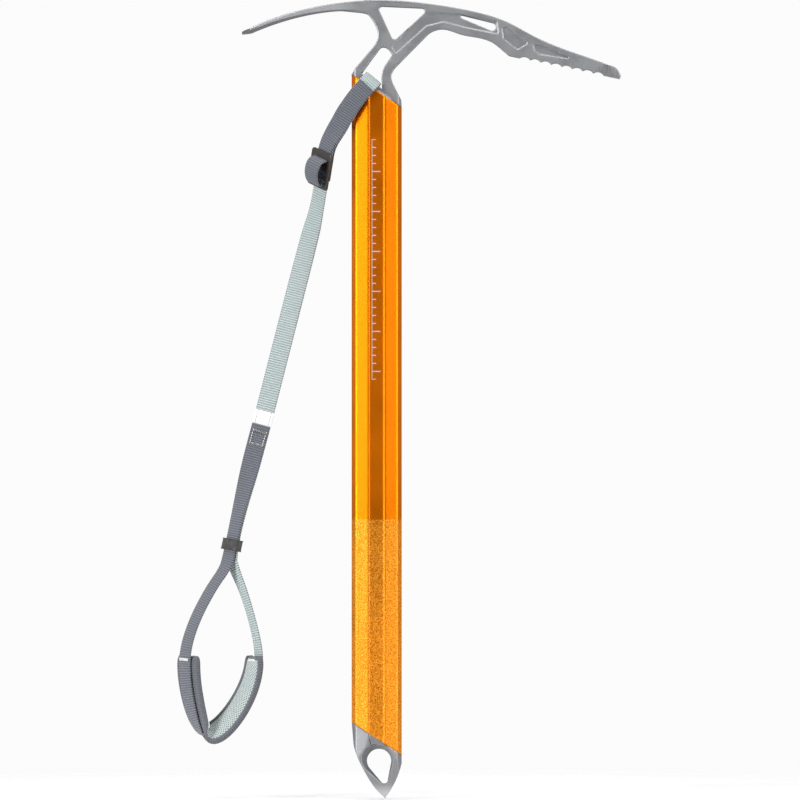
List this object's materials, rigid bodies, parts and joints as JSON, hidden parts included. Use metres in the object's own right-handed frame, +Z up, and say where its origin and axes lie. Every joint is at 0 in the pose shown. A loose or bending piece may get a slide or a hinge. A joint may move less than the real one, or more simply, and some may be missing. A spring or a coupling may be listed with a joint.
{
  "type": "ice axe",
  "caption": "Classic walking ice axe: forged head with toothed pick and scooped adze, faceted anodised shaft, spike with an eye, and a webbing leash with a padded wrist loop.",
  "frame": {"origin": "on the shaft's axis, in the middle of the grip zone where the hand holds it", "axes": "+Z up along the shaft towards the head, +X towards the pick, -X towards the adze, Y across the shaft's narrow depth"},
  "size_m": [0.2794, 0.0496, 0.5],
  "materials": {
    "forged_steel": "satin forged",
    "orange_anodised": "anodised, blasted in the grip zone",
    "epoxy": "cured",
    "pin_steel": "turned",
    "webbing_light": "woven",
    "webbing_dark": "woven",
    "black_metal": "satin",
    "label_white": "woven, plain",
    "thread_white": "stitched",
    "keeper_rubber": "matt",
    "pad_fabric": "woven",
    "foam": "closed-cell foam",
    "pad_mesh": "spacer mesh",
    "binding_dark": "bias tape"
  },
  "bodies": {
    "axe": {"head": "forged_steel", "shaft": "orange_anodised", "spike": "forged_steel", "head_bond": "epoxy", "spike_bond": "epoxy", "head_pins": "pin_steel", "spike_pin": "pin_steel", "head_loop_webbing": "webbing_light", "front_webbing": "webbing_dark"},
    "leash": {"leash_webbing": "webbing_light", "front_webbing_tail": "webbing_dark", "back_webbing_tail": "webbing_light", "label": "label_white", "label_stitches": "thread_white", "pad_cover": "pad_fabric", "pad_foam": "foam", "pad_mesh": "pad_mesh", "pad_binding_front": "binding_dark", "pad_binding_back": "binding_dark", "pad_stitches": "thread_white"},
    "buckle": {"buckle_frame": "black_metal", "buckle_bulge": "webbing_dark"},
    "keeper": {"keeper": "keeper_rubber"}
  },
  "joints": [
    {"name": "leash_swing", "type": "hinge", "parent": "axe", "child": "leash", "pos_m": [-0.024, -0.0072, 0.3155], "axis": [0.8139, -0.2017, -0.5448], "range_deg": [-50, 50]},
    {"name": "buckle_slide", "type": "slide", "parent": "leash", "child": "buckle", "axis": [-0.1544, 0.344, -0.9262], "range_m": [0, 0.01]},
    {"name": "keeper_slide", "type": "slide", "parent": "leash", "child": "keeper", "axis": [0.2056, 0.0506, 0.9773], "range_m": [0, 0.015]}
  ]
}
